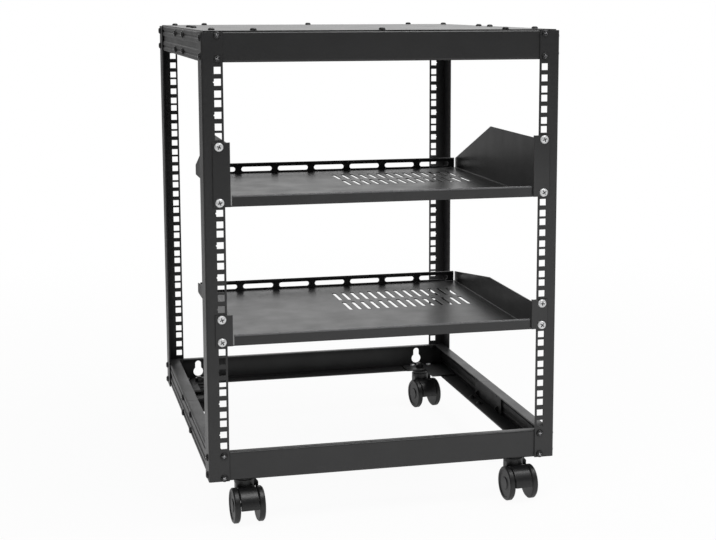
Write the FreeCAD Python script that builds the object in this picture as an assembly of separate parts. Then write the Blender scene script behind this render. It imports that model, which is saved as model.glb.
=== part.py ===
import FreeCAD, Part
import math
import os

# Four post open frame rack on twin wheel casters, in millimetres.
# +X is to the right of someone facing the front, +Y runs to the back and +Z is up.
# The origin is on the floor, midway between the four posts.

# Rack spacing: three square holes in each unit, in two columns at the front and two at the back.
rack_unit = 44.45
unit_count = 12
hole_steps = (6.35, 22.225, 38.1)
hole_column_spacing = 465.1
square_hole = 9.5
unit_mark_depth = 1.6
unit_mark_rise = 3.2

# Frame.
hole_edge_margin = 21.45
frame_depth = 580.0
sheet = 2.0
bend_radius = 0.6
post_face = 29.0
post_side = 38.0
post_end_margin = 45.0
member_height = 41.0
beam_flange = 33.0
beam_lip = 13.0
beam_end_gap = 0.5
rail_flange = 28.0
rail_lip = 18.0
rail_joint_gap = 0.6
rail_groove_depth = 1.6
rail_side_groove = 5.0
rail_middle_groove = 11.0
rail_screw_row = 12.5
splice_length = 140.0
splice_height = 34.0
splice_sheet = 2.5

# Screw holes through the posts, beams and rails.
frame_screw_hole = 5.2
frame_screw_edge = 4.625
rail_end_screw = 12.0
splice_screw = 52.0

# Hanging slots at the back: a round hole with a narrower slot above it.
keyhole_inset = 32.55
keyhole_round = 17.0
keyhole_slot = 10.5
keyhole_rise = 14.0
keyhole_height = 16.0

# Top panel.
panel_sheet = 1.5
panel_side_inset = 4.0
panel_end_inset = 3.5

# Corner plates that tie beam, rail and caster together.
corner_sheet = 2.5
corner_width = 76.0
corner_length = 86.0
corner_rail_leg = 42.0
corner_beam_leg = 37.0
corner_fit = 1.5

# Shelves: folded trays with ears on the front posts.
shelf_sheet = 1.5
shelf_side_gap = 6.0
shelf_depth = 391.0
shelf_lip = 14.5
shelf_lip_gap = 2.2
shelf_bend = 2.5
ear_overhang = 8.75
ear_slot_spacing = 31.75
ear_shortfall = 0.8
ear_slot = 7.2
ear_slot_length = 12.0
shelf_wall_drop = 3.0
shelf_wall_flat = 201.0
shelf_wall_rear = 17.0
lip_slot_count = 7
lip_slot_margin = 14.0
lip_slot_length = 50.0
lip_slot_height = 7.5
vent_columns = 14
vent_rows = 2
vent_pitch = 14.6
vent_row_pitch = 76.0
vent_length = 60.0
vent_width = 6.0
vent_side_margin = 35.2
vent_back_margin = 91.0

# Each shelf: height in rack units, and the post holes (counted from the lowest) that it hangs between.
upper_shelf_units = 2
upper_shelf_holes = (23, 28)
lower_shelf_units = 1
lower_shelf_holes = (10, 12)

# Casters.
caster_height = 63.0
caster_side_inset = 53.0
caster_end_inset = 27.0
caster_trail = 20.0
wheel_radius = 25.0
wheel_width = 8.5
caster_width = 44.0
wheel_running_gap = 0.5
tread_round = 1.6
wheel_dish = 1.2
wheel_rim = 4.5
wheel_cap_radius = 9.0
axle_radius = 3.0
axle_clearance = 0.35
axle_engagement = 4.5
hood_radius = 24.5
hood_skirt = 1.5
hood_wall = 2.5
hood_web = 5.0
hood_round = 1.2
neck_radius = 14.5
neck_ring = 5.0
lug_width = 8.0
lug_reach = 19.5
lug_slope = 6.0
lug_height = 12.5
collar_radius = 13.0
collar_height = 4.5
collar_round = 0.8
swivel_gap = 0.5
stem_radius = 4.0
stem_clearance = 0.3
stem_root = 1.0
stem_end = 2.0
nut_flats = 13.0
nut_height = 6.0

# Rest turn of each caster about its swivel, in degrees.
caster_turns = {
    "front_left": 3.0,
    "front_right": 4.0,
    "rear_left": 6.0,
    "rear_right": 9.0,
}

# Margin by which a cutting body overshoots what it cuts.
overcut = 1.0

# Derived places.
column_x = hole_column_spacing / 2
half_width = column_x + hole_edge_margin
half_depth = frame_depth / 2
post_height = unit_count * rack_unit + 2 * post_end_margin
screw_rise = member_height / 2 - frame_screw_edge
frame_bottom = caster_height
frame_top = frame_bottom + post_height
first_unit = frame_bottom + post_end_margin
rail_outer = half_width - sheet
rail_inner = rail_outer - sheet
beam_outer = half_depth - sheet
beam_inner = beam_outer - sheet
beam_half_length = rail_inner - rail_groove_depth - beam_end_gap
keyhole_x = column_x - keyhole_inset
stem_x = half_width - caster_side_inset
stem_y = half_depth - caster_end_inset
shelf_half = half_width - post_face - shelf_side_gap
ear_half = column_x + ear_overhang


def box(x0, x1, y0, y1, z0, z1):
    corner = FreeCAD.Vector(min(x0, x1), min(y0, y1), min(z0, z1))
    return Part.makeBox(abs(x1 - x0), abs(y1 - y0), abs(z1 - z0), corner)


def prism(points, direction):
    """Closed outline of straight edges, swept along a direction."""
    wire = Part.makePolygon([FreeCAD.Vector(*p) for p in points + points[:1]])
    return Part.Face(wire).extrude(FreeCAD.Vector(*direction))


def cylinder(radius, height, base, direction=(0, 0, 1)):
    return Part.makeCylinder(radius, height, FreeCAD.Vector(*base), FreeCAD.Vector(*direction))


def join(shapes):
    whole = shapes[0].multiFuse(shapes[1:])
    return whole.removeSplitter()


def cut(shape, tools):
    return shape.cut(Part.makeCompound(tools))


def mirrored(shape, across):
    return shape.mirror(FreeCAD.Vector(0, 0, 0), FreeCAD.Vector(*across))


def placed(shape, side, end):
    """Turns a piece made for the right rear corner into the one for another corner."""
    if side < 0:
        shape = mirrored(shape, (1, 0, 0))
    if end < 0:
        shape = mirrored(shape, (0, 1, 0))
    return shape


def rounded_slot(centre, length, height, depth, along, through):
    """Obround bar to cut a slot: its length runs along one axis and it goes through another."""
    run = FreeCAD.Vector(*along)
    way = FreeCAD.Vector(*through)
    across = way.cross(run)
    middle = FreeCAD.Vector(*centre) - way * (depth / 2)
    half_run = run * (length / 2 - height / 2)
    half_rise = across * (height / 2)
    corners = (
        middle - half_run - half_rise,
        middle + half_run - half_rise,
        middle + half_run + half_rise,
        middle - half_run + half_rise,
    )
    right = Part.Arc(corners[1], middle + half_run + run * (height / 2), corners[2])
    left = Part.Arc(corners[3], middle - half_run - run * (height / 2), corners[0])
    edges = [
        Part.makeLine(corners[0], corners[1]),
        right.toShape(),
        Part.makeLine(corners[2], corners[3]),
        left.toShape(),
    ]
    return Part.Face(Part.Wire(edges)).extrude(way * depth)


def hole_heights():
    heights = []
    for unit in range(unit_count):
        for step in hole_steps:
            heights.append(first_unit + unit * rack_unit + step)
    return heights


def bend_edges(shape, edges, radius):
    return shape.makeFillet(radius, edges)


def upright_edges(shape, x, y):
    """Edges of a shape that stand upright at one place."""
    found = []
    for edge in shape.Edges:
        box_ = edge.BoundBox
        upright = box_.ZLength > shape.BoundBox.ZLength / 2
        if upright and abs(box_.XMin - x) < 0.01 and abs(box_.YMin - y) < 0.01:
            found.append(edge)
    return found


def post(marked):
    """Right rear post: an angle whose face looks back, with the square holes down its face."""
    outline = [
        (half_width, half_depth, frame_bottom),
        (half_width - post_face, half_depth, frame_bottom),
        (half_width - post_face, half_depth - sheet, frame_bottom),
        (half_width - sheet, half_depth - sheet, frame_bottom),
        (half_width - sheet, half_depth - post_side, frame_bottom),
        (half_width, half_depth - post_side, frame_bottom),
    ]
    angle = prism(outline, (0, 0, post_height))
    outer = upright_edges(angle, half_width, half_depth)
    angle = bend_edges(angle, outer, sheet + bend_radius)
    reach = sheet * 2
    front = half_depth - reach
    half = square_hole / 2
    edge = column_x + half
    tools = []
    for index, height in enumerate(hole_heights()):
        tools.append(box(column_x - half, edge, front, half_depth + reach, height - half, height + half))
        if marked and index % len(hole_steps) == 1:
            notch = [
                (edge - unit_mark_depth, front, height - unit_mark_rise),
                (edge + unit_mark_depth, front, height),
                (edge - unit_mark_depth, front, height + unit_mark_rise),
            ]
            tools.append(prism(notch, (0, 2 * reach, 0)))
    for height in screw_heights(screw_rise):
        back = (column_x, front, height)
        tools.append(cylinder(frame_screw_hole / 2, 2 * reach, back, (0, 1, 0)))
    for height in screw_heights(rail_screw_row):
        flank = (half_width - reach, half_depth - rail_end_screw, height)
        tools.append(cylinder(frame_screw_hole / 2, 2 * reach, flank, (1, 0, 0)))
    return cut(angle, tools)


def screw_heights(rise):
    """Heights of the frame's screws: two rows on the bottom members and two on the top ones."""
    heights = []
    for middle in (frame_bottom + member_height / 2, frame_top - member_height / 2):
        heights.append(middle - rise)
        heights.append(middle + rise)
    return heights


def flange_widths(bottom, wide, narrow):
    """Upper and lower flange of a member: the wide one is under a bottom member and on top of a top one."""
    if bottom < first_unit:
        return narrow, wide
    return wide, narrow


def beam(bottom, keyholes):
    """Rear cross beam: a channel open to the front, its wide flange away from the bays."""
    top = bottom + member_height
    upper = half_depth - flange_widths(bottom, beam_flange, beam_lip)[0]
    lower = half_depth - flange_widths(bottom, beam_flange, beam_lip)[1]
    outline = [
        (-beam_half_length, beam_outer, bottom),
        (-beam_half_length, beam_outer, top),
        (-beam_half_length, upper, top),
        (-beam_half_length, upper, top - sheet),
        (-beam_half_length, beam_inner, top - sheet),
        (-beam_half_length, beam_inner, bottom + sheet),
        (-beam_half_length, lower, bottom + sheet),
        (-beam_half_length, lower, bottom),
    ]
    channel = prism(outline, (2 * beam_half_length, 0, 0))
    bends = []
    for edge in channel.Edges:
        long = edge.BoundBox.XLength > beam_half_length
        if long and abs(edge.BoundBox.YMin - beam_outer) < 0.01:
            bends.append(edge)
    channel = bend_edges(channel, bends, sheet + bend_radius)
    tools = []
    depth = 4 * sheet
    for side in (-1, 1):
        for height in (-screw_rise, screw_rise):
            base = (side * column_x, beam_outer - depth / 2, bottom + member_height / 2 + height)
            tools.append(cylinder(frame_screw_hole / 2, depth, base, (0, 1, 0)))
        if keyholes:
            tools.append(keyhole(side * keyhole_x, bottom + keyhole_height, depth))
        if bottom < first_unit:
            stem = (side * stem_x, stem_y, bottom - sheet)
            tools.append(cylinder(stem_radius + stem_clearance, 3 * sheet, stem))
    return cut(channel, tools)


def keyhole(x, z, depth):
    base = (x, beam_outer - depth / 2, z)
    round_hole = cylinder(keyhole_round / 2, depth, base, (0, 1, 0))
    length = keyhole_rise + keyhole_slot
    middle = (x, beam_outer, z + keyhole_rise / 2)
    slot = rounded_slot(middle, length, keyhole_slot, depth, (0, 0, 1), (0, 1, 0))
    return round_hole.fuse(slot)


def groove_stations():
    """Middle height and width of each groove pressed into a rail's web, counted from the rail's middle."""
    return (
        (-rail_screw_row, rail_side_groove),
        (0.0, rail_middle_groove),
        (rail_screw_row, rail_side_groove),
    )


def rail_web_line(face, direction):
    """One face of the web from bottom to top, stepping in at each groove with sloped sides."""
    points = []
    for middle, width in groove_stations():
        half = width / 2
        ease = rail_groove_depth
        points.append((face, middle - half))
        points.append((face + direction * rail_groove_depth, middle - half + ease))
        points.append((face + direction * rail_groove_depth, middle + half - ease))
        points.append((face, middle + half))
    return points


def rail(bottom):
    """Right rear half of a side rail: a grooved channel open to the inside, within the post's side."""
    middle = bottom + member_height / 2
    half = member_height / 2
    upper_edge = rail_outer - flange_widths(bottom, rail_flange, rail_lip)[0]
    lower_edge = rail_outer - flange_widths(bottom, rail_flange, rail_lip)[1]
    section = [(lower_edge, -half), (rail_outer, -half)]
    section += rail_web_line(rail_outer, -1)
    section += [(rail_outer, half), (upper_edge, half)]
    section += [(upper_edge, half - sheet), (rail_inner, half - sheet)]
    section += list(reversed(rail_web_line(rail_inner, -1)))
    section += [(rail_inner, sheet - half), (lower_edge, sheet - half)]
    start = rail_joint_gap / 2
    outline = [(x, start, middle + z) for x, z in section]
    channel = prism(outline, (0, beam_outer - start, 0))
    bends = []
    for edge in channel.Edges:
        box_ = edge.BoundBox
        outer = abs(box_.XMin - rail_outer) < 0.01
        at_corner = abs(abs(box_.ZMin - middle) - half) < 0.01
        if box_.YLength > half_depth / 2 and outer and at_corner:
            bends.append(edge)
    channel = bend_edges(channel, bends, sheet + bend_radius)
    upper_beam, lower_beam = flange_widths(bottom, beam_flange, beam_lip)
    upper_clear = half_depth - upper_beam - beam_end_gap
    lower_clear = half_depth - lower_beam - beam_end_gap
    web_limit = rail_inner - rail_groove_depth
    tools = [
        box(0, web_limit, upper_clear, half_depth, middle, bottom + member_height + overcut),
        box(0, web_limit, lower_clear, half_depth, bottom - overcut, middle),
    ]
    for row in (-1, 1):
        end_screw = (rail_inner - sheet, half_depth - rail_end_screw, middle + row * rail_screw_row)
        tools.append(cylinder(frame_screw_hole / 2, 3 * sheet, end_screw, (1, 0, 0)))
        joint_screw = (rail_inner - 2 * sheet, splice_screw, middle + row * rail_screw_row)
        tools.append(cylinder(frame_screw_hole / 2, 4 * sheet, joint_screw, (1, 0, 0)))
    return cut(channel, tools)


def splice(bottom):
    """Right splice plate, screwed inside both halves of a rail."""
    seat = rail_inner - rail_groove_depth
    middle = bottom + member_height / 2
    half = splice_length / 2
    rise = splice_height / 2
    plate = box(seat - splice_sheet, seat, -half, half, middle - rise, middle + rise)
    tools = []
    for end in (-1, 1):
        for row in (-1, 1):
            base = (seat - 2 * splice_sheet, end * splice_screw, middle + row * rail_screw_row)
            tools.append(cylinder(frame_screw_hole / 2, 3 * splice_sheet, base, (1, 0, 0)))
    return cut(plate, tools)


def top_panel():
    x = half_width - panel_side_inset
    y = half_depth - panel_end_inset
    return box(-x, x, -y, y, frame_top, frame_top + panel_sheet)


def corner_plate():
    """Right rear corner plate, an L on top of the bottom flanges, with the caster stem through it."""
    outer_x = rail_inner - corner_fit
    outer_y = beam_inner - corner_fit
    low = frame_bottom + sheet
    outline = [
        (outer_x, outer_y, low),
        (outer_x - corner_width, outer_y, low),
        (outer_x - corner_width, outer_y - corner_beam_leg, low),
        (outer_x - corner_rail_leg, outer_y - corner_beam_leg, low),
        (outer_x - corner_rail_leg, outer_y - corner_length, low),
        (outer_x, outer_y - corner_length, low),
    ]
    plate = prism(outline, (0, 0, corner_sheet))
    stem = cylinder(stem_radius + stem_clearance, 3 * corner_sheet, (stem_x, stem_y, low - corner_sheet))
    return plate.cut(stem)


def shelf(units, holes):
    """Folded shelf: floor, front and rear lips, side walls that slope down to the back, and ears."""
    heights = hole_heights()
    middle = (heights[holes[0]] + heights[holes[1]]) / 2
    height = units * rack_unit - ear_shortfall
    bottom = middle - height / 2
    front = -half_depth
    back = front + shelf_depth
    outer = shelf_half
    inner = outer - shelf_sheet
    lip_half = inner - shelf_lip_gap

    wall_top = bottom + height - shelf_wall_drop
    over = wall_top + overcut
    floor_top = bottom + shelf_sheet
    outside = long_rounded_box(outer, front, back, bottom, wall_top, shelf_bend)
    inner_bend = shelf_bend - shelf_sheet
    inside = long_rounded_box(inner, front - overcut, back + overcut, floor_top, over, inner_bend)
    side = -outer - overcut
    slope = [
        (side, back + overcut, bottom + shelf_wall_rear),
        (side, back, bottom + shelf_wall_rear),
        (side, front + shelf_wall_flat, wall_top),
        (side, front + shelf_wall_flat, over),
        (side, back + overcut, over),
    ]
    trough = cut(outside, [inside, prism(slope, (-2 * side, 0, 0))])
    front_lip = box(-lip_half, lip_half, front, front + shelf_sheet, bottom, bottom + shelf_lip)
    rear_lip = box(-lip_half, lip_half, back - shelf_sheet, back, bottom, bottom + shelf_lip)
    face = front - shelf_sheet
    ear = box(inner, ear_half, face, front, bottom, bottom + height)
    ear_root = box(inner, outer, face, front + shelf_sheet, bottom + shelf_bend, bottom + height)
    body = [trough, front_lip, rear_lip]
    for end in (-1, 1):
        body.append(placed(ear, end, 1))
        body.append(placed(ear_root, end, 1))
    tray = join(body)

    tools = []
    depth = 4 * shelf_sheet
    first_slot = outer - lip_slot_margin - lip_slot_length / 2
    slot_pitch = 2 * first_slot / (lip_slot_count - 1)
    for column in range(lip_slot_count):
        x = column * slot_pitch - first_slot
        centre = (x, back - shelf_sheet / 2, bottom + (shelf_lip + shelf_sheet) / 2)
        tools.append(rounded_slot(centre, lip_slot_length, lip_slot_height, depth, (1, 0, 0), (0, 1, 0)))
    for row in range(vent_rows):
        for column in range(vent_columns):
            x = outer - vent_side_margin - column * vent_pitch
            y = back - vent_back_margin - row * vent_row_pitch
            centre = (x, y, bottom + shelf_sheet / 2)
            tools.append(rounded_slot(centre, vent_length, vent_width, depth, (0, 1, 0), (0, 0, 1)))
    spacing = (units - 1) * rack_unit + ear_slot_spacing
    for end in (-1, 1):
        for row in (-1, 1):
            centre = (end * column_x, front - shelf_sheet / 2, middle + row * spacing / 2)
            tools.append(rounded_slot(centre, ear_slot_length, ear_slot, depth, (1, 0, 0), (0, 1, 0)))
    return cut(tray, tools)


def long_rounded_box(half, front, back, low, high, radius):
    """Box across the rack whose two lower edges, from front to back, are rounded."""
    whole = box(-half, half, front, back, low, high)
    edges = []
    for edge in whole.Edges:
        bounds = edge.BoundBox
        if bounds.YLength > 0.01 and bounds.ZMax < low + 0.01:
            edges.append(edge)
    return bend_edges(whole, edges, radius)


def caster_stem():
    """Fixed upper part of a caster at the origin of its swivel, on the frame's underside."""
    low = frame_bottom - collar_height
    collar = cylinder(collar_radius, collar_height, (0, 0, low))
    collar = bend_edges(collar, [collar.Edges[0]], collar_round)
    seat = frame_bottom + sheet + corner_sheet
    root = frame_bottom - stem_root
    stem = cylinder(stem_radius, seat + nut_height + stem_end - root, (0, 0, root))
    nut = hexagon(nut_flats, nut_height, seat)
    return join([collar, stem, nut])


def hexagon(flats, height, base):
    radius = flats / math.sqrt(3)
    points = []
    for step in range(6):
        angle = math.radians(60 * step)
        points.append((radius * math.cos(angle), radius * math.sin(angle), base))
    return prism(points, (0, 0, height))


def caster_hood():
    """Swivelling part about its swivel's axis: neck, barrel hood, lug and axle, trailing to the front."""
    half = caster_width / 2 - wheel_width - wheel_running_gap
    axle_y = -caster_trail
    neck_top = frame_bottom - collar_height - swivel_gap
    barrel = cylinder(hood_radius, 2 * half, (-half, axle_y, wheel_radius), (1, 0, 0))
    rims = [edge for edge in barrel.Edges if edge.BoundBox.XLength < 0.01]
    barrel = bend_edges(barrel, rims, hood_round)
    hollow_radius = hood_radius - hood_wall
    hollow = cylinder(hollow_radius, 2 * half, (-half, axle_y, wheel_radius), (1, 0, 0))
    web = box(-hood_web, hood_web, axle_y - wheel_radius, axle_y + wheel_radius, 0, 2 * wheel_radius)
    neck = cylinder(neck_radius, neck_top - wheel_radius, (0, 0, wheel_radius))
    neck = neck.cut(cylinder(hollow_radius, 4 * half, (-2 * half, axle_y, wheel_radius), (1, 0, 0)))
    sides = box(-half, half, -2 * wheel_radius, 2 * wheel_radius, 0, neck_top)
    ring = cylinder(neck_radius, neck_ring, (0, 0, neck_top - neck_ring))
    shell = join([barrel.cut(hollow.cut(web)), neck.common(join([sides, ring])), caster_lug(neck_top)])
    skirt = wheel_radius - hood_skirt
    shell = shell.cut(box(-2 * half, 2 * half, axle_y - 2 * wheel_radius, 2 * wheel_radius, 0, skirt))
    reach = caster_width / 2 - wheel_width + axle_engagement
    axle = cylinder(axle_radius, 2 * reach, (-reach, axle_y, wheel_radius), (1, 0, 0))
    return join([shell, axle])


def caster_lug(top):
    """Shoulder at the right of the neck, sloping down and out over the wheel."""
    back = -lug_width / 2
    outline = [
        (neck_radius / 2, back, top),
        (neck_radius, back, top),
        (lug_reach, back, top - lug_slope),
        (lug_reach, back, top - lug_height),
        (neck_radius / 2, back, top - lug_height),
    ]
    return prism(outline, (0, lug_width, 0))


def wheel():
    """Right wheel of a pair, revolved about the axle: a round tread, a dished outer face and a cap."""
    axis_y = -caster_trail
    outer = caster_width / 2
    inner = outer - wheel_width
    bore = axle_radius + axle_clearance
    depth = inner + axle_engagement + axle_clearance
    face = outer - wheel_dish
    profile = [
        (inner, bore),
        (inner, wheel_radius - tread_round),
        (inner + tread_round, wheel_radius),
        (outer - tread_round, wheel_radius),
        (outer, wheel_radius - tread_round),
        (outer, wheel_radius - wheel_rim),
        (face, wheel_radius - wheel_rim - wheel_dish),
        (face, wheel_cap_radius + wheel_dish),
        (outer, wheel_cap_radius),
        (outer, 0.0),
        (depth, 0.0),
        (depth, bore),
    ]
    points = [FreeCAD.Vector(x, axis_y, wheel_radius + r) for x, r in profile]
    face_shape = Part.Face(Part.makePolygon(points + points[:1]))
    centre = FreeCAD.Vector(0, axis_y, wheel_radius)
    return face_shape.revolve(centre, FreeCAD.Vector(1, 0, 0), 360)


def at_corner(shape, side, end, turn):
    """Moves a caster piece from its swivel's origin to a corner, turned about the swivel."""
    moved = shape.copy()
    moved.rotate(FreeCAD.Vector(0, 0, 0), FreeCAD.Vector(0, 0, 1), turn)
    moved.translate(FreeCAD.Vector(side * stem_x, end * stem_y, 0))
    return moved


def save(name, shape):
    shape.exportStep(os.path.join("parts", name + ".step"))


def build_frame():
    bottom_beam = frame_bottom
    top_beam = frame_top - member_height
    for end_name, end in (("front", -1), ("rear", 1)):
        save("beam_" + end_name + "_bottom", placed(beam(bottom_beam, end > 0), 1, end))
        save("beam_" + end_name + "_top", placed(beam(top_beam, end > 0), 1, end))
        for side_name, side in (("left", -1), ("right", 1)):
            marked = side * end > 0
            save("post_" + end_name + "_" + side_name, placed(post(marked), side, end))
            save("corner_plate_" + end_name + "_" + side_name, placed(corner_plate(), side, end))
            for level, low in (("bottom", frame_bottom), ("top", frame_top - member_height)):
                name = "rail_" + level + "_" + side_name + "_" + end_name
                save(name, placed(rail(low), side, end))
    for side_name, side in (("left", -1), ("right", 1)):
        for level, low in (("bottom", frame_bottom), ("top", frame_top - member_height)):
            save("splice_" + level + "_" + side_name, placed(splice(low), side, 1))
    save("top_panel", top_panel())


def build_casters():
    right_wheel = wheel()
    wheels = {"left": mirrored(right_wheel, (1, 0, 0)), "right": right_wheel}
    for end_name, end in (("front", -1), ("rear", 1)):
        for side_name, side in (("left", -1), ("right", 1)):
            corner = end_name + "_" + side_name
            turn = caster_turns[corner]
            name = "caster_" + corner
            save(name + "_stem", at_corner(caster_stem(), side, end, turn))
            save(name + "_hood", at_corner(caster_hood(), side, end, turn))
            for wheel_side, shape in wheels.items():
                save(name + "_wheel_" + wheel_side, at_corner(shape, side, end, turn))


os.makedirs("parts", exist_ok=True)
build_frame()
save("shelf_upper", shelf(upper_shelf_units, upper_shelf_holes))
save("shelf_lower", shelf(lower_shelf_units, lower_shelf_holes))
build_casters()
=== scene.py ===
import math

import bpy
import numpy as np
from mathutils import Matrix, Vector


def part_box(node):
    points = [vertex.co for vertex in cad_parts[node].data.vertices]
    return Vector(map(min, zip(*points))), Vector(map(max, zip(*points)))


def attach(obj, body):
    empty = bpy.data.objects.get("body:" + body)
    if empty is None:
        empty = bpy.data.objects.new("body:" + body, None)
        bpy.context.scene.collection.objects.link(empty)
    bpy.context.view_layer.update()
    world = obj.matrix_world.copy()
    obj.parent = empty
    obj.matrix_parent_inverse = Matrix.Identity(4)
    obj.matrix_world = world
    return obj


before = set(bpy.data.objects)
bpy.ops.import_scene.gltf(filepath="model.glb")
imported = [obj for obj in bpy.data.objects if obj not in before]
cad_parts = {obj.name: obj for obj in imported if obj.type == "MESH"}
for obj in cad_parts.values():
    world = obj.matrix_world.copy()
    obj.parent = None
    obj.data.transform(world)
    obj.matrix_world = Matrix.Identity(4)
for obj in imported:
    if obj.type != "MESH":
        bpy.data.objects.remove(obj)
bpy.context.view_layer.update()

print("frame loaded:", len(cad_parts), "nodes")

view = {
    "place": (-0.49431, -2.28204, 0.72252),  # metres
    "yaw": 0.2476193,  # radians, to the right of straight ahead
    "pitch": -0.1461324,  # radians, above level
    "roll": -0.0004519,
    "sensor": 36.0,  # millimetres, as the lens is
    "lens": 74.513,
    "shift": (-0.04785, -0.06634),
    "clip": (0.05, 60.0),
}


def makeCamera():
    data = bpy.data.cameras.new("camera")
    data.sensor_width = view["sensor"]
    data.lens = view["lens"]
    data.shift_x, data.shift_y = view["shift"]
    data.clip_start, data.clip_end = view["clip"]
    yaw, pitch, roll = view["yaw"], view["pitch"], view["roll"]
    level = math.cos(pitch)
    ahead = Vector((math.sin(yaw) * level, math.cos(yaw) * level, math.sin(pitch)))
    right = Vector((math.cos(yaw), -math.sin(yaw), 0.0))
    up = right.cross(ahead)
    rolledRight = right * math.cos(roll) + up * math.sin(roll)
    rolledUp = up * math.cos(roll) - right * math.sin(roll)
    turn = Matrix((rolledRight, rolledUp, -ahead)).transposed()
    camera = bpy.data.objects.new("camera", data)
    camera.matrix_world = Matrix.Translation(view["place"]) @ turn.to_4x4()
    bpy.context.scene.collection.objects.link(camera)
    bpy.context.scene.camera = camera


makeCamera()
bpy.context.scene.view_settings.view_transform = "Standard"
print("camera made")

coatLook = {
    "shades": (0.8, 1.2),  # shares of the colour where it is darkest and lightest
    "shadeNoise": (4.0, 0.6),  # the noise's detail and roughness
    "reliefNoise": (3.0, 0.55),
    "patch": 0.04,  # metres: size of the duller and shinier patches
    "patchNoise": (3.0, 0.5),
    "glossDrift": 0.04,
}
plateLook = {
    "shades": (0.82, 1.0),
    "blotch": 0.0011,  # metres, as the mark, the relief and its depth are
    "mark": 0.0025,
    "markNoise": (3.0, 0.5),
    "glossDrift": 0.06,
    "relief": 0.0007,
    "reliefNoise": (2.0, 0.5),
    "depth": 0.00001,
}
noiseSpan = (0.3, 0.7)  # part of the noise over which a colour or a gloss changes
recessStops = [(0.40, 1.0), (0.85, 0.0)]  # openness, then how far the place counts as hidden
nodeSamples = {"edge": 4, "recess": 6}

coats = {
    # colour, roughness and specular level; then, in metres, the grain's size and depth and how
    # far the edges are softened; a recess has its reach and how much duller it is deep inside
    "framePaint": {
        "name": "frame_powder_coat", "colour": (0.010, 0.010, 0.0105), "rough": 0.40,
        "specular": 0.7, "grain": 0.0011, "depth": 0.00016, "edge": 0.0010,
        "recess": {"reach": 0.055, "duller": 0.55},
    },
    "shelfPaint": {
        "name": "shelf_powder_coat", "colour": (0.009, 0.009, 0.0095), "rough": 0.33,
        "specular": 0.7, "grain": 0.0014, "depth": 0.00005, "edge": 0.0010,
    },
    # front hems: a colour far paler than the shelf paint's, a painted highlight along the folded
    # edge
    "hemPaintedHighlight": {
        "name": "hem_coat_painted_highlight", "colour": (0.11, 0.11, 0.113), "rough": 0.26,
        "specular": 0.8, "grain": 0.0014, "depth": 0.00004, "edge": 0.0006,
    },
    "panelPaint": {
        "name": "panel_powder_coat", "colour": (0.009, 0.009, 0.0095), "rough": 0.30,
        "specular": 0.5, "grain": 0.0012, "depth": 0.00004, "edge": 0.0006,
    },
    "hoodNylon": {
        "name": "hood_nylon", "colour": (0.011, 0.011, 0.0115), "rough": 0.34,
        "specular": 0.5, "grain": 0.0020, "depth": 0.00003, "edge": 0.0007,
    },
    "wheelNylon": {
        "name": "wheel_nylon", "colour": (0.011, 0.011, 0.0115), "rough": 0.38,
        "specular": 0.5, "grain": 0.0016, "depth": 0.00003, "edge": 0.0005,
    },
}
platings = {
    # colour, metallic share, roughness, and in metres how far the edges are softened
    "blackScrew": {
        "name": "black_screw", "colour": (0.012, 0.012, 0.0125),
        "metallic": 0.1, "rough": 0.30, "edge": 0.0003,
    },
    "wornRecess": {
        "name": "worn_recess", "colour": (0.62, 0.62, 0.63),
        "metallic": 1.0, "rough": 0.30, "edge": 0.0001,
    },
    "zincScrew": {
        "name": "zinc_screw", "colour": (0.88, 0.885, 0.89),
        "metallic": 0.35, "rough": 0.30, "edge": 0.0003,
    },
    # zinc screws' cross recesses: far darker than the zinc itself, painted shade inside the recess
    "recessPaintedShade": {
        "name": "recess_painted_shade", "colour": (0.20, 0.20, 0.205),
        "metallic": 0.5, "rough": 0.40, "edge": 0.0001,
    },
}


def newMaterial(name):
    material = bpy.data.materials.new(name)
    material.use_nodes = True
    tree = material.node_tree
    tree.nodes.clear()
    out = tree.nodes.new("ShaderNodeOutputMaterial")
    shader = tree.nodes.new("ShaderNodeBsdfPrincipled")
    tree.links.new(shader.outputs[0], out.inputs[0])
    return material, tree, shader


def mathNode(tree, operation, *values):
    # each value is a number or another node's output
    node = tree.nodes.new("ShaderNodeMath")
    node.operation = operation
    for socket, value in zip(node.inputs, values):
        if isinstance(value, bpy.types.NodeSocket):
            tree.links.new(value, socket)
        else:
            socket.default_value = value
    return node.outputs[0]


def noise(tree, size, detail, rough):
    # grain of one size in metres, fixed to the object
    place = tree.nodes.new("ShaderNodeTexCoord")
    grain = tree.nodes.new("ShaderNodeTexNoise")
    grain.inputs["Scale"].default_value = 1.0 / size
    grain.inputs["Detail"].default_value = detail
    grain.inputs["Roughness"].default_value = rough
    tree.links.new(place.outputs["Object"], grain.inputs["Vector"])
    return grain.outputs["Fac"]


def ramp(tree, source, stops):
    # each stop is a position and a grey value or a colour
    node = tree.nodes.new("ShaderNodeValToRGB")
    node.color_ramp.elements[0].position = stops[0][0]
    node.color_ramp.elements[1].position = stops[-1][0]
    for where, _ in stops[1:-1]:
        node.color_ramp.elements.new(where)
    for element, (_, value) in zip(node.color_ramp.elements, stops):
        colour = value if isinstance(value, tuple) else (value, value, value)
        element.color = (*colour, 1.0)
    tree.links.new(source, node.inputs[0])
    return node.outputs[0]


def shaded(tree, shader, colour, shades, source):
    # the colour drifts between two shares of itself
    low, high = (tuple(share * part for part in colour) for share in shades)
    drift = ramp(tree, source, list(zip(noiseSpan, (low, high))))
    tree.links.new(drift, shader.inputs["Base Color"])


def drifting(tree, rough, drift, source):
    # the roughness drifts to either side of its own value
    return ramp(tree, source, list(zip(noiseSpan, (rough - drift, rough + drift))))


def roundedNormal(tree, radius):
    # softens sheet edges within the radius, so that they catch a thin line of light
    edge = tree.nodes.new("ShaderNodeBevel")
    edge.samples = nodeSamples["edge"]
    edge.inputs["Radius"].default_value = radius
    return edge.outputs[0]


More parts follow.
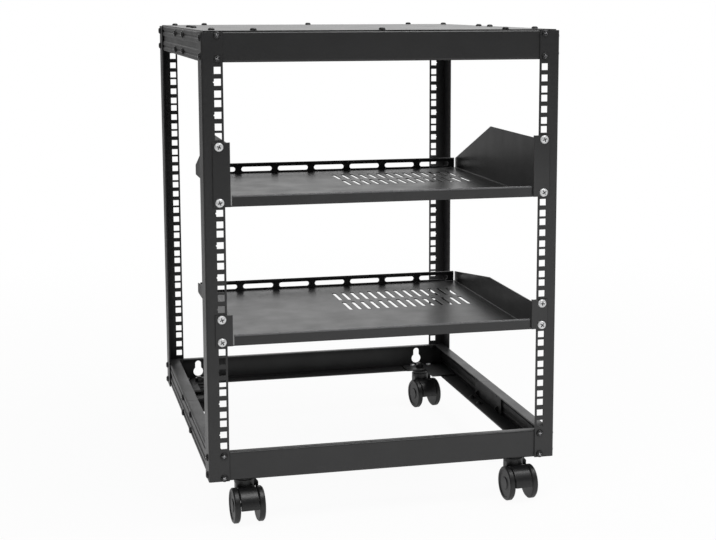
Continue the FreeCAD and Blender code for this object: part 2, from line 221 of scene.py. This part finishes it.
def bump(tree, shader, height, depth, base):
    node = tree.nodes.new("ShaderNodeBump")
    node.inputs["Distance"].default_value = depth
    node.inputs["Strength"].default_value = 1.0
    tree.links.new(height, node.inputs["Height"])
    tree.links.new(base, node.inputs["Normal"])
    tree.links.new(node.outputs[0], shader.inputs["Normal"])


def recessed(tree, reach):
    # 0 on open faces and up to 1 deep in a channel, where powder lies thin and rough
    hidden = tree.nodes.new("ShaderNodeAmbientOcclusion")
    hidden.samples = nodeSamples["recess"]
    hidden.inputs["Distance"].default_value = reach
    return ramp(tree, hidden.outputs["AO"], recessStops)


def coated(name, colour, rough, specular, grain, depth, edge, recess=None):
    # paint or moulded nylon: colour and gloss drift a little, over a fine orange-peel grain
    material, tree, shader = newMaterial(name)
    shader.inputs["Specular IOR Level"].default_value = specular
    fine = noise(tree, grain, *coatLook["shadeNoise"])
    shaded(tree, shader, colour, coatLook["shades"], fine)
    patches = noise(tree, coatLook["patch"], *coatLook["patchNoise"])
    gloss = drifting(tree, rough, coatLook["glossDrift"], patches)
    if recess:
        hidden = recessed(tree, recess["reach"])
        gloss = mathNode(tree, "MULTIPLY_ADD", hidden, recess["duller"], gloss)
    tree.links.new(gloss, shader.inputs["Roughness"])
    relief = noise(tree, grain, *coatLook["reliefNoise"])
    bump(tree, shader, relief, depth, roundedNormal(tree, edge))
    return material


def plated(name, colour, metallic, rough, edge):
    # plated or blackened steel: faint blotches in the colour and fine marks in the gloss
    material, tree, shader = newMaterial(name)
    shader.inputs["Metallic"].default_value = metallic
    blotches = noise(tree, plateLook["blotch"], *plateLook["markNoise"])
    shaded(tree, shader, colour, plateLook["shades"], blotches)
    marks = noise(tree, plateLook["mark"], *plateLook["markNoise"])
    gloss = drifting(tree, rough, plateLook["glossDrift"], marks)
    tree.links.new(gloss, shader.inputs["Roughness"])
    relief = noise(tree, plateLook["relief"], *plateLook["reliefNoise"])
    bump(tree, shader, relief, plateLook["depth"], roundedNormal(tree, edge))
    return material


finishes = {key: coated(**coat) for key, coat in coats.items()}
finishes |= {key: plated(**plating) for key, plating in platings.items()}


def finishOf(node):
    if node.startswith("shelf"):
        return "shelfPaint"
    if node == "top_panel":
        return "panelPaint"
    if "wheel" in node:
        return "wheelNylon"
    if node.startswith("caster"):
        return "hoodNylon"
    return "framePaint"


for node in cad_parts:
    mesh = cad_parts[node].data
    mesh.materials.clear()
    mesh.materials.append(finishes[finishOf(node)])
print("materials made:", len(finishes))


def evenAngles(steps):
    # angles spread evenly over one turn
    return np.linspace(0, 2 * np.pi, steps, endpoint=False)


def ringAt(radius, height, angles):
    # level ring: one radius and one height at every angle; the radius may change with the angle
    wide = np.broadcast_to(radius, angles.shape)
    level = np.full(angles.shape, height)
    return np.stack([wide * np.cos(angles), wide * np.sin(angles), level], 1)


def polygonRadius(flats, corners, angles):
    # regular polygon: half the width over flats, over the cosine of the angle from the middle of
    # the nearest flat
    share = 2 * np.pi / corners
    return flats / 2 / np.cos(np.mod(angles + share / 2, share) - share / 2)


def crossRadius(arm, slot, angles):
    # cross: the nearer of the arm's end and the slot's side along each angle
    cosine, sine = abs(np.cos(angles)), abs(np.sin(angles))
    small = np.maximum(np.minimum(cosine, sine), 1e-9)  # never zero, as it divides
    return np.minimum(arm / np.maximum(cosine, sine), slot / small)


def crossAngles(arm, slot):
    # angles of a ring that has a point at every corner of the cross
    corner = math.atan2(slot, arm)
    eighth = np.array([0, corner / 2, corner, 0.5 * corner + np.pi / 8, np.pi / 4])
    quarter = np.concatenate([eighth, np.pi / 2 - eighth[-2:0:-1]])
    return np.concatenate([quarter + turn * np.pi / 2 for turn in range(4)])


def stacked(rings, marked=0):
    # skin over rings of equal count, each joined to the next, with a fan over the first and the
    # last; the last rows and the last fan carry a mark where they take the second finish
    rings = np.array(rings)
    many, steps = rings.shape[:2]
    points = np.concatenate([rings.reshape(-1, 3), rings[0].mean(0)[None], rings[-1].mean(0)[None]])
    here = np.arange(steps)
    after = (here + 1) % steps
    rows = np.arange(many - 1)[:, None] * steps
    corners = [rows + here, rows + after, rows + steps + after, rows + steps + here]
    quads = np.stack(corners, 2).reshape(-1, 4)
    low = np.stack([np.full(steps, many * steps), after, here], 1)
    top = (many - 1) * steps
    high = np.stack([np.full(steps, many * steps + 1), top + here, top + after], 1)
    quadMarks = np.repeat(np.arange(many - 1) >= many - 1 - marked, steps)
    fanMarks = np.repeat([False, marked > 0], steps)
    return points, quads, np.concatenate([low, high]), quadMarks, fanMarks


def framesAt(places, outward, turns):
    # an axis system at every place, whose z points outward, turned about z; x starts level, or
    # along the rack's width where z is upright
    places = np.array(places, float)
    z = np.broadcast_to(np.array(outward, float), places.shape)
    side = np.where(abs(z[:, 2:]) > 0.9, [[1.0, 0.0, 0.0]], [[0.0, 0.0, 1.0]])
    x = np.cross(side, z)
    x /= np.linalg.norm(x, axis=1, keepdims=True)
    y = np.cross(z, x)
    cosine, sine = np.cos(turns)[:, None], np.sin(turns)[:, None]
    frames = np.zeros((len(places), 4, 4))
    frames[:, :3, 0] = x * cosine + y * sine
    frames[:, :3, 1] = y * cosine - x * sine
    frames[:, :3, 2] = z
    frames[:, :3, 3] = places
    frames[:, 3, 3] = 1.0
    return frames


def stamped(shape, frames):
    # one shape repeated at every axis system: points turned and moved, faces counted on
    points, quads, fans, quadMarks, fanMarks = shape
    moved = np.einsum("kij,pj->kpi", frames[:, :3, :3], points) + frames[:, None, :3, 3]
    step = (np.arange(len(frames)) * len(points))[:, None, None]
    many = len(frames)
    return (
        moved.reshape(-1, 3),
        (quads[None] + step).reshape(-1, 4),
        (fans[None] + step).reshape(-1, 3),
        np.tile(quadMarks, many),
        np.tile(fanMarks, many),
    )


def together(shapes):
    # several shapes as one, with the faces counted on
    counts = np.cumsum([0] + [len(shape[0]) for shape in shapes[:-1]])
    return (
        np.concatenate([shape[0] for shape in shapes]),
        np.concatenate([shape[1] + count for shape, count in zip(shapes, counts)]),
        np.concatenate([shape[2] + count for shape, count in zip(shapes, counts)]),
        np.concatenate([shape[3] for shape in shapes]),
        np.concatenate([shape[4] for shape in shapes]),
    )


smoothBelow = math.radians(35.0)


def makePiece(name, shape, body, finish, second=None):
    points, quads, fans, quadMarks, fanMarks = shape
    mesh = bpy.data.meshes.new(name)
    mesh.from_pydata(points.tolist(), [], quads.tolist() + fans.tolist())
    mesh.materials.append(finishes[finish])
    if second:
        mesh.materials.append(finishes[second])
        marks = np.concatenate([quadMarks, fanMarks]).astype(np.int32)
        mesh.polygons.foreach_set("material_index", marks)
    mesh.shade_smooth()
    mesh.set_sharp_from_angle(angle=smoothBelow)
    piece = bpy.data.objects.new(name, mesh)
    bpy.context.scene.collection.objects.link(piece)
    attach(piece, body)


def lowOf(node, axis):
    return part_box(node)[0][axis]


def highOf(node, axis):
    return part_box(node)[1][axis]


def middleOf(node):
    return (lowOf(node, 2) + highOf(node, 2)) / 2


heads = {
    # metres: the head's radius and height, then half length, half width and depth of its cross
    "frame": {"radius": 0.0050, "height": 0.0030, "arm": 0.0026, "slot": 0.00068, "deep": 0.0016},
    "panel": {"radius": 0.0047, "height": 0.0033, "arm": 0.0024, "slot": 0.00060, "deep": 0.0015},
    "shelf": {"radius": 0.0061, "height": 0.0037, "arm": 0.0032, "slot": 0.00080, "deep": 0.0020},
    "plate": {"radius": 0.0042, "height": 0.0026, "arm": 0.0021, "slot": 0.00055, "deep": 0.0013},
}
headForm = {
    # shares of the sizes above, from the foot up to the crown and down into the recess
    "foot": 0.97,
    "sunk": 0.0002,  # metres that the foot goes below the face it sits on
    "sideRings": 7,
    "side": (0.70, 0.30),  # radius at the crown, and what the foot has more
    "rise": (0.22, 0.62),  # height at the foot, and what the crown has more
    "rim": (1.14, 0.98),
    "recessWall": (0.92, 0.80, 0.8),  # arm, slot and depth
    "recessFloor": (0.45, 0.60),
}
nuts = {
    # metres
    "frame": {"flats": 0.0080, "height": 0.0040, "flange": 0.0056, "bore": 0.0022},
    "panel": {"flats": 0.0070, "height": 0.0032, "flange": 0.0046, "bore": 0.0020},
}
nutForm = {
    "steps": 36,
    "sunk": 0.0001,  # metres, as the next three are
    "flangeEdge": 0.0008,
    "flangeTop": 0.0011,
    "hexFoot": 0.0012,
    "flangeSlope": 0.93,
    "chamfer": (0.88, 0.49),  # share of the height where it begins, share of the flats at the top
    "screwEnd": {"sink": 0.0005, "out": 0.0014, "tip": 0.0018},  # metres from the nut's top
}
cageNut = {
    # metres, but for the shares that the notes name
    "steps": 40,
    "cage": 0.0128,
    "cageSheet": 0.0009,
    "nut": 0.0098,
    "height": 0.0052,
    "bore": 0.0029,
    "sunk": 0.0001,
    "lip": 0.0008,  # how much wider than the nut the cage's raised edge is
    "lipRise": (1.1, 1.3),  # heights of that edge and of the nut's foot, as shares of the sheet
    "chamfer": (0.92, 0.47),  # shares, as the flange nut's
    "screwEnd": {"sink": 0.0006, "out": 0.0030, "tip": 0.0035},
}
screwEndForm = {"mouth": 1.15, "tip": 0.8}  # shares of the bore's radius
chance = np.random.default_rng(7)


def screwHead(radius, height, arm, slot, deep):
    # pan head: the side is a quarter ellipse from foot to crown, the crown rises gently to the rim
    # of a cross recess, and the recess narrows as it goes down
    form = headForm
    angles = crossAngles(arm, slot)
    crown, more = form["side"]
    foot, rise = form["rise"]
    rings = [ringAt(radius * form["foot"], -form["sunk"], angles)]
    for share in np.linspace(0, np.pi / 2, form["sideRings"]):
        wide = radius * (crown + more * np.cos(share))
        rings.append(ringAt(wide, height * (foot + rise * np.sin(share)), angles))
    rings.append(ringAt(arm * form["rim"][0], height * form["rim"][1], angles))
    rings.append(ringAt(crossRadius(arm, slot, angles), height, angles))
    armShare, slotShare, deepShare = form["recessWall"]
    wall = crossRadius(arm * armShare, slot * slotShare, angles)
    rings.append(ringAt(wall, height - deep * deepShare, angles))
    armShare, slotShare = form["recessFloor"]
    floor = crossRadius(arm * armShare, slot * slotShare, angles)
    rings.append(ringAt(floor, height - deep, angles))
    return stacked(rings, 2)


def screwEnd(bore, height, angles, sink, out, tip):
    # the hole's countersunk mouth, then the screw's round end with a chamfered tip
    return [
        ringAt(bore * screwEndForm["mouth"], height, angles),
        ringAt(bore, height - sink, angles),
        ringAt(bore, height + out, angles),
        ringAt(bore * screwEndForm["tip"], height + tip, angles),
    ]


def flangeNut(flats, height, flange, bore):
    # nut on the far side: a round flange, six flats, a chamfer, and the screw's end in its thread
    form = nutForm
    angles = evenAngles(form["steps"])
    hexagon = polygonRadius(flats, 6, angles)
    start, narrow = form["chamfer"]
    rings = [
        ringAt(flange, -form["sunk"], angles),
        ringAt(flange, form["flangeEdge"], angles),
        ringAt(flange * form["flangeSlope"], form["flangeTop"], angles),
        ringAt(hexagon, form["hexFoot"], angles),
        ringAt(hexagon, height * start, angles),
        ringAt(flats * narrow, height, angles),
    ]
    return stacked(rings + screwEnd(bore, height, angles, **form["screwEnd"]))


def squareNut():
    # square nut in its sheet cage: squares as four-sided rings, then the bore and the screw's end
    form = cageNut
    angles = evenAngles(form["steps"])
    height, sheet = form["height"], form["cageSheet"]
    cage = polygonRadius(form["cage"], 4, angles)
    nut = polygonRadius(form["nut"], 4, angles)
    lip = polygonRadius(form["nut"] + form["lip"], 4, angles)
    lipFoot, nutFoot = form["lipRise"]
    start, narrow = form["chamfer"]
    rings = [
        ringAt(cage, -form["sunk"], angles),
        ringAt(cage, sheet, angles),
        ringAt(lip, sheet * lipFoot, angles),
        ringAt(nut, sheet * nutFoot, angles),
        ringAt(nut, height * start, angles),
        ringAt(form["nut"] * narrow, height, angles),
    ]
    return stacked(rings + screwEnd(form["bore"], height, angles, **form["screwEnd"]))


def atPlaces(shape, places, outward):
    # screws stop at any angle, so each one is turned by its own
    return stamped(shape, framesAt(places, outward, chance.uniform(0, np.pi / 2, len(places))))


layout = {
    # metres, from the faces and middles of the pieces that the screws hold
    "columnInset": 0.02145,  # post's side to the middle of its column of holes
    "beamRow": 0.015875,  # middle of a beam to its upper and its lower row
    "sheet": 0.002,
    "flankInset": 0.012,  # back face to the screws in the posts' sides
    "grooveDepth": 0.0016,  # the rails' pressed grooves stand proud inside
    "spliceAlong": 0.052,  # middle of a side rail to the screws of its splice
    "spliceRow": 0.0125,  # middle of a rail to its upper and its lower row
    "panelEndInset": 0.0200,
    "panelAcross": (-0.180, 0.0, 0.180),
    "panelSide": 0.2335,
    "panelAlong": (-0.242, -0.032, 0.026, 0.232),
    "shelfRows": {"shelf_upper": (0.0381, -0.0381), "shelf_lower": (0.015875, -0.015875)},
    "plateScrews": (0.191, 0.221),
    "plateInset": 0.0120,
    "flangeSide": 0.2330,
    "flangeAlong": (0.007, 0.046),
}
sideX = highOf("post_rear_right", 0)
frontY, backY = lowOf("post_front_left", 1), highOf("post_rear_right", 1)
columnX = sideX - layout["columnInset"]
flankY = backY - layout["flankInset"]


def rowsOf(nodes, rise):
    # two rows of screws on each node, one below its middle and one above
    return [middleOf(node) + way * rise for node in nodes for way in (-1, 1)]


def placeFrameScrews():
    beams = ("beam_rear_bottom", "beam_rear_top")
    faceRows = rowsOf(beams, layout["beamRow"])
    flankRows = rowsOf(beams, layout["spliceRow"])
    through = 2 * layout["sheet"]
    head, nut = screwHead(**heads["frame"]), flangeNut(**nuts["frame"])
    found = []
    for name, y, way in (("screws_front", frontY, -1), ("screws_back", backY, 1)):
        places = [(side * columnX, y, z) for side in (-1, 1) for z in faceRows]
        makePiece(name, atPlaces(head, places, (0, way, 0)), "frame", "blackScrew", "wornRecess")
        inner = [(x, y - way * through, z) for x, y, z in places]
        found.append(atPlaces(nut, inner, (0, -way, 0)))
    inside = through + layout["grooveDepth"]
    for name, side in (("screws_left_side", -1), ("screws_right_side", 1)):
        places = [(side * sideX, end * flankY, z) for end in (-1, 1) for z in flankRows]
        makePiece(name, atPlaces(head, places, (side, 0, 0)), "frame", "blackScrew", "wornRecess")
        inner = [(x - side * inside, y, z) for x, y, z in places]
        found.append(atPlaces(nut, inner, (-side, 0, 0)))
    makePiece("nuts_posts", together(found), "frame", "blackScrew")


def placeSpliceScrews():
    head, nut = screwHead(**heads["frame"]), flangeNut(**nuts["panel"])
    outer = highOf("rail_bottom_right_rear", 0)
    inner = lowOf("splice_bottom_right", 0)
    rows = rowsOf(("splice_bottom_right", "splice_top_right"), layout["spliceRow"])
    spots = [(end * layout["spliceAlong"], z) for end in (-1, 1) for z in rows]
    found = []
    for name, side in (("left", -1), ("right", 1)):
        screws = atPlaces(head, [(side * outer, y, z) for y, z in spots], (side, 0, 0))
        makePiece("screws_splice_" + name, screws, "frame", "blackScrew", "wornRecess")
        found.append(atPlaces(nut, [(side * inner, y, z) for y, z in spots], (-side, 0, 0)))
    makePiece("nuts_splice", together(found), "frame", "blackScrew")


def placePanelScrews():
    top = highOf("top_panel", 2)
    under = highOf("beam_rear_top", 2) - layout["sheet"]
    endY = backY - layout["panelEndInset"]
    spots = [(x, end * endY) for end in (-1, 1) for x in layout["panelAcross"]]
    spots += [(side * layout["panelSide"], y) for side in (-1, 1) for y in layout["panelAlong"]]
    head, nut = screwHead(**heads["panel"]), flangeNut(**nuts["panel"])
    screws = atPlaces(head, [(x, y, top) for x, y in spots], (0, 0, 1))
    makePiece("screws_panel", screws, "frame", "blackScrew", "wornRecess")
    below = atPlaces(nut, [(x, y, under) for x, y in spots], (0, 0, -1))
    makePiece("nuts_panel", below, "frame", "blackScrew")


def placeShelfScrews():
    # screws stop at any angle, cage nuts sit square in the posts' holes
    head, cage = screwHead(**heads["shelf"]), squareNut()
    inside = frontY + layout["sheet"]
    for node, rises in layout["shelfRows"].items():
        middle = middleOf(node)
        face = lowOf(node, 1)
        spots = [(side * columnX, middle + rise) for side in (-1, 1) for rise in rises]
        screws = atPlaces(head, [(x, face, z) for x, z in spots], (0, -1, 0))
        # their cross recesses take the darker finish, painted shade
        makePiece("screws_" + node, screws, "frame", "zincScrew", "recessPaintedShade")
        squared = framesAt([(x, inside, z) for x, z in spots], (0, 1, 0), np.zeros(len(spots)))
        makePiece("cage_nuts_" + node, stamped(cage, squared), "frame", "zincScrew")


def placePlateScrews():
    top = highOf("corner_plate_rear_right", 2)
    plateY = backY - layout["plateInset"]
    corners = [(side, end) for side in (-1, 1) for end in (-1, 1)]
    places = [(side * x, end * plateY, top) for side, end in corners for x in layout["plateScrews"]]
    screws = atPlaces(screwHead(**heads["plate"]), places, (0, 0, 1))
    # their cross recesses take the darker finish, painted shade
    makePiece("screws_corner_plates", screws, "frame", "zincScrew", "recessPaintedShade")


def placeFlangeScrews():
    # small bolts where the two halves of each bottom rail overlap: nuts on the flange, heads below
    low = lowOf("rail_bottom_right_rear", 2)
    spots = [(side * layout["flangeSide"], y) for side in (-1, 1) for y in layout["flangeAlong"]]
    head, nut = screwHead(**heads["plate"]), flangeNut(**nuts["panel"])
    above = atPlaces(nut, [(x, y, low + layout["sheet"]) for x, y in spots], (0, 0, 1))
    makePiece("nuts_flanges", above, "frame", "blackScrew")
    screws = atPlaces(head, [(x, y, low) for x, y in spots], (0, 0, -1))
    makePiece("screws_flanges", screws, "frame", "blackScrew", "wornRecess")


placeFrameScrews()
placeSpliceScrews()
placePanelScrews()
placeShelfScrews()
placePlateScrews()
placeFlangeScrews()
print("screws and nuts placed")

hem = {
    # metres: folded edges on top of the shelves' upright lips
    "sheet": 0.0015,
    "wallInset": 0.0350,  # post's side to the shelf's side
    "endInset": 0.0037,  # shelf's side to the end of its lips
    "lipHeight": 0.0145,
    # the front hems take the paler coat, a painted highlight along their edge; the rear ones keep
    # the shelf paint
    "front": {"thick": 0.0026, "tall": 0.0026, "drop": 0.0014, "finish": "hemPaintedHighlight"},
    "rear": {"thick": 0.0024, "tall": 0.0052, "drop": 0.0018, "finish": "shelfPaint"},
    "steps": 20,
    "power": 0.8,  # 1 is an ellipse, less is squarer
    "endRound": 0.0006,
    "endShare": 0.6,
}


def roundedBar(low, high, y, z, thick, tall):
    # bar along x: its section is a superellipse, one power of the cosine across and of the sine
    # up, swept from low to high and drawn in at both ends
    angles = evenAngles(hem["steps"])
    cosine, sine, power = np.cos(angles), np.sin(angles), hem["power"]
    across = thick / 2 * np.sign(cosine) * abs(cosine) ** power
    up = tall / 2 * np.sign(sine) * abs(sine) ** power
    small, inset = hem["endShare"], hem["endRound"]
    rings = []
    for x, share in ((low, small), (low + inset, 1.0), (high - inset, 1.0), (high, small)):
        rings.append(np.stack([np.full(angles.shape, x), y + share * across, z + share * up], 1))
    return stacked(rings)


def placeHems():
    half = sideX - hem["wallInset"] - hem["endInset"]
    for node in layout["shelfRows"]:
        top = lowOf(node, 2) + hem["lipHeight"]
        for end, y, way in (("front", frontY, 1), ("rear", highOf(node, 1), -1)):
            size = hem[end]
            z = top - size["drop"] + size["tall"] / 2
            middle = y + way * hem["sheet"] / 2
            bar = roundedBar(-half, half, middle, z, size["thick"], size["tall"])
            makePiece("hem_" + end + "_" + node, bar, "frame", size["finish"])


placeHems()
print("shelf hems placed")

studio = {
    "floorHalf": 8.0,  # metres
    "floorColour": (0.86, 0.86, 0.86),
    "floorRough": 0.9,
    "floorShare": (0.95, 1.0),  # how far the floor is lifted to white, near the rack and far off
    "floorReach": (0.5, 2.2),  # metres, near and far
    "glossShare": (0.48, 0.08),  # the same in the gloss, where the room round it is dimmer
    "glossReach": (0.7, 1.8),
    "worldLight": 0.35,
    "glossFrom": (0.55, 0.55, 0.63),  # direction of the brightest part of the room
    "glossStops": [(0.25, 0.05), (0.68, 0.20), (0.86, 1.0)],  # nearness to it, brightness
    "lamps": [
        # name, place, target, width, height, power in watts
        ("key", (-1.3, -1.5, 1.9), (0.0, -0.1, 0.35), 1.0, 1.0, 10.0),
        ("front", (0.6, -1.4, 0.25), (0.1, -0.2, 0.1), 1.2, 0.4, 1.0),
        ("strip", (0.45, -0.6, 2.1), (0.2, -0.4, 0.3), 1.8, 0.8, 22.0),
        ("top", (0.1, 0.5, 2.3), (0.0, 0.0, 0.3), 1.2, 0.6, 5.0),
    ],
}


def backdropRays(tree):
    # 1 for the camera's rays, then 1 for all rays that see the backdrop: those, the ones from
    # gloss and the ones through glass
    rays = tree.nodes.new("ShaderNodeLightPath").outputs
    glass = mathNode(tree, "MAXIMUM", rays["Is Glossy Ray"], rays["Is Transmission Ray"])
    return rays["Is Camera Ray"], mathNode(tree, "MAXIMUM", rays["Is Camera Ray"], glass)


def mixedShader(tree, share, first, second):
    mixed = tree.nodes.new("ShaderNodeMixShader")
    for socket, source in zip(mixed.inputs, (share, first.outputs[0], second.outputs[0])):
        tree.links.new(source, socket)
    return mixed.outputs[0]


def makeWorld():
    # white backdrop; in the gloss it falls off to a dimmer room in front and at the left
    world = bpy.data.worlds.new("studio")
    bpy.context.scene.world = world
    world.use_nodes = True
    tree = world.node_tree
    tree.nodes.clear()
    out = tree.nodes.new("ShaderNodeOutputWorld")
    plain = tree.nodes.new("ShaderNodeBackground")
    backdrop = tree.nodes.new("ShaderNodeBackground")
    plain.inputs["Color"].default_value = (1.0, 1.0, 1.0, 1.0)
    backdrop.inputs["Color"].default_value = (1.0, 1.0, 1.0, 1.0)
    plain.inputs["Strength"].default_value = studio["worldLight"]
    way = tree.nodes.new("ShaderNodeTexCoord")
    along = tree.nodes.new("ShaderNodeVectorMath")
    along.operation = "DOT_PRODUCT"
    along.inputs[1].default_value = studio["glossFrom"]
    tree.links.new(way.outputs["Generated"], along.inputs[0])
    nearness = mathNode(tree, "MULTIPLY_ADD", along.outputs["Value"], 0.5, 0.5)  # from 0 to 1
    fall = ramp(tree, nearness, studio["glossStops"])
    camera, seen = backdropRays(tree)
    level = mathNode(tree, "MAXIMUM", fall, camera)
    tree.links.new(level, backdrop.inputs["Strength"])
    tree.links.new(mixedShader(tree, seen, plain, backdrop), out.inputs[0])


def makeLamp(name, place, target, width, height, power):
    data = bpy.data.lights.new(name, "AREA")
    data.shape = "RECTANGLE"
    data.size, data.size_y = width, height
    data.energy = power
    lamp = bpy.data.objects.new(name, data)
    away = Vector(place) - Vector(target)
    turn = away.to_track_quat("Z", "Y").to_matrix().to_4x4()
    lamp.matrix_world = Matrix.Translation(place) @ turn
    lamp.visible_camera = False
    bpy.context.scene.collection.objects.link(lamp)


def lifted(tree, distance, rays, reach, shares):
    # how far these rays see the floor as white, changing smoothly with the distance from the rack
    lift = tree.nodes.new("ShaderNodeMapRange")
    lift.interpolation_type = "SMOOTHSTEP"
    lift.inputs["From Min"].default_value, lift.inputs["From Max"].default_value = reach
    lift.inputs["To Min"].default_value, lift.inputs["To Max"].default_value = shares
    tree.links.new(distance, lift.inputs["Value"])
    return mathNode(tree, "MULTIPLY", rays, lift.outputs[0])


def makeFloor():
    # plain pale floor that keeps the rack's shadow near it and is lifted to white further out
    half = studio["floorHalf"]
    mesh = bpy.data.meshes.new("floor")
    corners = [(-half, -half, 0.0), (half, -half, 0.0), (half, half, 0.0), (-half, half, 0.0)]
    mesh.from_pydata(corners, [], [(0, 1, 2, 3)])
    floor = bpy.data.objects.new("floor", mesh)
    bpy.context.scene.collection.objects.link(floor)
    material, tree, shader = newMaterial("floor_white")
    shader.inputs["Base Color"].default_value = (*studio["floorColour"], 1.0)
    shader.inputs["Roughness"].default_value = studio["floorRough"]
    glow = tree.nodes.new("ShaderNodeEmission")
    glow.inputs["Strength"].default_value = 1.0
    place = tree.nodes.new("ShaderNodeTexCoord")
    distance = tree.nodes.new("ShaderNodeVectorMath")
    distance.operation = "LENGTH"
    tree.links.new(place.outputs["Object"], distance.inputs[0])
    far = distance.outputs["Value"]
    camera, seen = backdropRays(tree)
    paper = lifted(tree, far, camera, studio["floorReach"], studio["floorShare"])
    gloss = lifted(tree, far, seen, studio["glossReach"], studio["glossShare"])
    share = mathNode(tree, "MAXIMUM", paper, gloss)
    out = next(node for node in tree.nodes if node.type == "OUTPUT_MATERIAL")
    tree.links.new(mixedShader(tree, share, shader, glow), out.inputs[0])
    mesh.materials.append(material)


makeWorld()
makeFloor()
for lamp in studio["lamps"]:
    makeLamp(*lamp)
print("stage made:", len(studio["lamps"]), "lamps")
